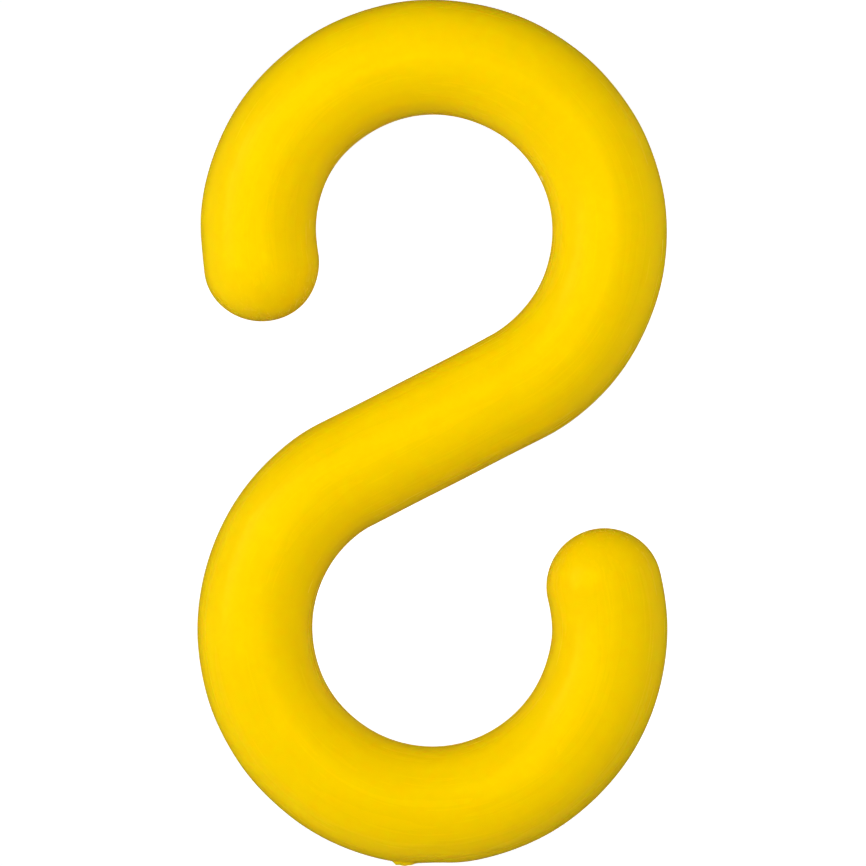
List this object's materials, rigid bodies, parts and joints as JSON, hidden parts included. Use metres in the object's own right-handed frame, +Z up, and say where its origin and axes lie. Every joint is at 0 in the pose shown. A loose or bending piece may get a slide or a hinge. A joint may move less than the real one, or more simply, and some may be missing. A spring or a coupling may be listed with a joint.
{
  "type": "chain s-hook",
  "caption": "Round-bar plastic S-hook with an open loop at each end, for hanging or joining lengths of barrier chain.",
  "frame": {"origin": "top of the upper loop's hollow, the point that bears on the ring, post eye or link that the hook hangs from", "axes": "+Z up as the hook hangs, along its length; +X to the right seen from the front; Y through the bar's thickness, with the front at -Y"},
  "size_m": [0.0324, 0.008, 0.0602],
  "materials": {
    "yellow_plastic": "satin"
  },
  "bodies": {
    "root": {"s_hook": "yellow_plastic"}
  },
  "joints": []
}
